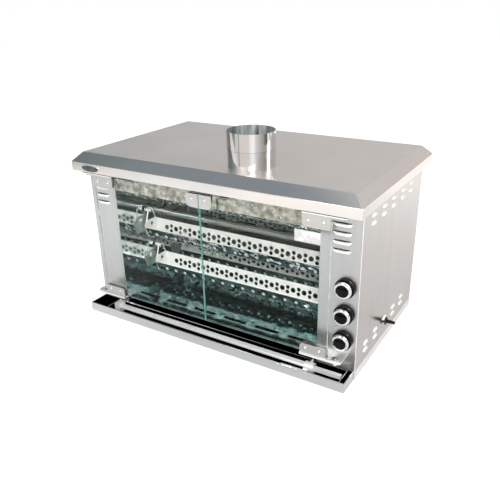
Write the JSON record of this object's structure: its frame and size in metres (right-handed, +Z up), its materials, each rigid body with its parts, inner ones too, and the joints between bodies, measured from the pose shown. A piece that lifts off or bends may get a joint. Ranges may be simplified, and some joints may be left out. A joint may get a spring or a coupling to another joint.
{
  "type": "gas rotisserie grill",
  "caption": "Counter-top gas rotisserie grill: steel cabinet with glass doors, hood with round flue, hanging cradles on a turning rotor, drip drawer and side gas inlet.",
  "frame": {"origin": "on the floor under the centre of the cabinet's footprint", "axes": "+X to the right seen from the front, +Y to the back, +Z up"},
  "size_m": [1.08, 0.677, 0.713],
  "materials": {
    "hood_steel": "satin polished",
    "panel_steel": "satin",
    "liner_steel": "mirror polished",
    "tray_steel": "bright",
    "glass": "clear",
    "fitting_steel": "satin",
    "screw_chrome": "bright",
    "cradle_steel": "bright",
    "rotor_steel": "turned",
    "knob_black": "gloss",
    "knob_chrome": "bright",
    "nozzle_metal": "blackened",
    "burner_steel": "heat stained",
    "valve_brass": "cast",
    "pipe_aluminium": "drawn",
    "motor_paint": "semi-gloss",
    "bearing_bronze": "plain",
    "badge_metal": "bright",
    "magnet_plastic": "matt"
  },
  "bodies": {
    "cabinet": {"bottom_panel": "panel_steel", "base_rails": "tray_steel", "left_side_panel": "panel_steel", "right_side_panel": "panel_steel", "back_panel": "panel_steel", "left_front_column": "panel_steel", "control_panel": "panel_steel", "header_rail": "panel_steel", "floor_pan": "liner_steel", "left_liner": "liner_steel", "right_liner": "liner_steel", "back_liner": "liner_steel", "roof_liner": "liner_steel", "hood_bearers": "panel_steel", "hood": "hood_steel", "flue_spigot": "hood_steel", "flue_collar": "hood_steel", "badge_plate": "badge_metal", "burner_tubes": "burner_steel", "burner_deflectors": "burner_steel", "burner_brackets": "burner_steel", "gas_manifold": "rotor_steel", "gas_inlet_nozzle": "nozzle_metal", "inlet_pipe": "rotor_steel", "gas_valves": "valve_brass", "burner_pipes": "pipe_aluminium", "gear_motor": "motor_paint", "rotor_bearings": "bearing_bronze", "tray_runners": "tray_steel", "door_brackets": "fitting_steel", "magnetic_catches": "magnet_plastic"},
    "left_door": {"left_door_glass": "glass", "left_door_fittings": "fitting_steel", "left_door_screws": "screw_chrome"},
    "right_door": {"right_door_glass": "glass", "right_door_fittings": "fitting_steel", "right_door_screws": "screw_chrome"},
    "tray": {"drip_tray": "tray_steel", "insert_pan": "tray_steel"},
    "spit": {"spit_bar": "rotor_steel", "spit_fork": "tray_steel"},
    "rotor": {"rotor_tube": "rotor_steel", "rotor_spiders": "rotor_steel", "pivot_pins": "screw_chrome", "motor_coupling": "rotor_steel"},
    "cradle_1": {"cradle_1": "cradle_steel"},
    "cradle_2": {"cradle_2": "cradle_steel"},
    "cradle_3": {"cradle_3": "cradle_steel"},
    "cradle_4": {"cradle_4": "cradle_steel"},
    "cradle_5": {"cradle_5": "cradle_steel"},
    "plunger_1": {"plunger_1": "valve_brass"},
    "knob_1": {"knob_1": "knob_black", "knob_ring_1": "knob_chrome"},
    "plunger_2": {"plunger_2": "valve_brass"},
    "knob_2": {"knob_2": "knob_black", "knob_ring_2": "knob_chrome"},
    "plunger_3": {"plunger_3": "valve_brass"},
    "knob_3": {"knob_3": "knob_black", "knob_ring_3": "knob_chrome"}
  },
  "joints": [
    {"name": "left_door_swing", "type": "hinge", "parent": "cabinet", "child": "left_door", "pos_m": [-0.468, -0.322, 0.3], "axis": [0, 0, -1], "range_deg": [0, 110]},
    {"name": "right_door_swing", "type": "hinge", "parent": "cabinet", "child": "right_door", "pos_m": [0.468, -0.322, 0.3], "axis": [0, 0, 1], "range_deg": [0, 110]},
    {"name": "tray_slide", "type": "slide", "parent": "cabinet", "child": "tray", "axis": [0, -1, 0], "range_m": [0, 0.4]},
    {"name": "spit_lift", "type": "slide", "parent": "tray", "child": "spit", "axis": [0, 0, 1], "range_m": [0, 0.02]},
    {"name": "rotor_spin", "type": "hinge", "parent": "cabinet", "child": "rotor", "pos_m": [0, -0.005, 0.307], "axis": [1, 0, 0], "continuous": true},
    {"name": "cradle_1_swing", "type": "hinge", "parent": "rotor", "child": "cradle_1", "pos_m": [0, -0.13264, 0.35676], "axis": [1, 0, 0], "continuous": true},
    {"name": "cradle_2_swing", "type": "hinge", "parent": "rotor", "child": "cradle_2", "pos_m": [0, -0.09177, 0.20098], "axis": [1, 0, 0], "continuous": true},
    {"name": "cradle_3_swing", "type": "hinge", "parent": "rotor", "child": "cradle_3", "pos_m": [0, 0.06901, 0.19171], "axis": [1, 0, 0], "continuous": true},
    {"name": "cradle_4_swing", "type": "hinge", "parent": "rotor", "child": "cradle_4", "pos_m": [0, 0.12752, 0.34176], "axis": [1, 0, 0], "continuous": true},
    {"name": "cradle_5_swing", "type": "hinge", "parent": "rotor", "child": "cradle_5", "pos_m": [0, 0.00289, 0.44377], "axis": [1, 0, 0], "continuous": true},
    {"name": "knob_1_push", "type": "slide", "parent": "cabinet", "child": "plunger_1", "axis": [0, 1, 0], "range_m": [0, 0.004], "stiffness_N_per_m": 800, "springref_m": -0.002},
    {"name": "knob_1_turn", "type": "hinge", "parent": "plunger_1", "child": "knob_1", "pos_m": [0.47, -0.294, 0.133], "axis": [0, -1, 0], "range_deg": [0, 180]},
    {"name": "knob_2_push", "type": "slide", "parent": "cabinet", "child": "plunger_2", "axis": [0, 1, 0], "range_m": [0, 0.004], "stiffness_N_per_m": 800, "springref_m": -0.002},
    {"name": "knob_2_turn", "type": "hinge", "parent": "plunger_2", "child": "knob_2", "pos_m": [0.47, -0.294, 0.22], "axis": [0, -1, 0], "range_deg": [0, 180]},
    {"name": "knob_3_push", "type": "slide", "parent": "cabinet", "child": "plunger_3", "axis": [0, 1, 0], "range_m": [0, 0.004], "stiffness_N_per_m": 800, "springref_m": -0.002},
    {"name": "knob_3_turn", "type": "hinge", "parent": "plunger_3", "child": "knob_3", "pos_m": [0.47, -0.294, 0.307], "axis": [0, -1, 0], "range_deg": [0, 180]}
  ],
  "couplings": [
    {"joint": "cradle_1_swing", "follows": "rotor_spin", "ratio": -1},
    {"joint": "cradle_2_swing", "follows": "rotor_spin", "ratio": -1},
    {"joint": "cradle_3_swing", "follows": "rotor_spin", "ratio": -1},
    {"joint": "cradle_4_swing", "follows": "rotor_spin", "ratio": -1},
    {"joint": "cradle_5_swing", "follows": "rotor_spin", "ratio": -1}
  ]
}
